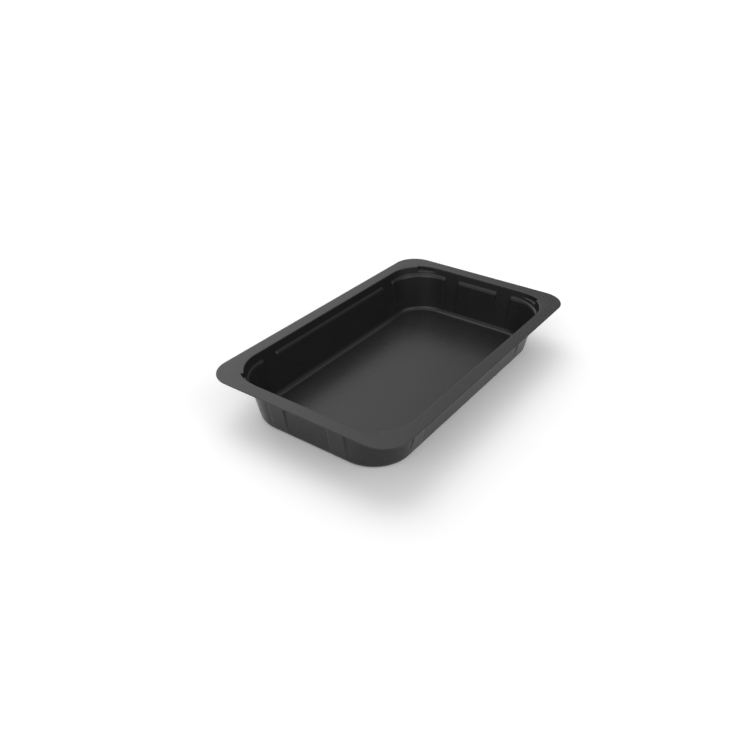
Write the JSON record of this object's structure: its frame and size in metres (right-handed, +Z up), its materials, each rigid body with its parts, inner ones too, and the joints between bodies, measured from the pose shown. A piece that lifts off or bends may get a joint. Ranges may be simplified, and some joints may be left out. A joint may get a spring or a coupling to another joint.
{
  "type": "plastic meal tray",
  "caption": "Shallow rectangular tray of thin black plastic with rounded corners, a flat rim, stepped and grooved sloping walls and corner stacking pockets.",
  "frame": {"origin": "on the surface that the tray stands on, under the middle of the tray", "axes": "+X along the tray's length, +Y across its width, +Z up out of its open top"},
  "size_m": [0.265, 0.1612, 0.0393],
  "materials": {
    "black_plastic": "satin black, smooth, with a faint formed grain"
  },
  "bodies": {
    "root": {"tray": "black_plastic"}
  },
  "joints": []
}
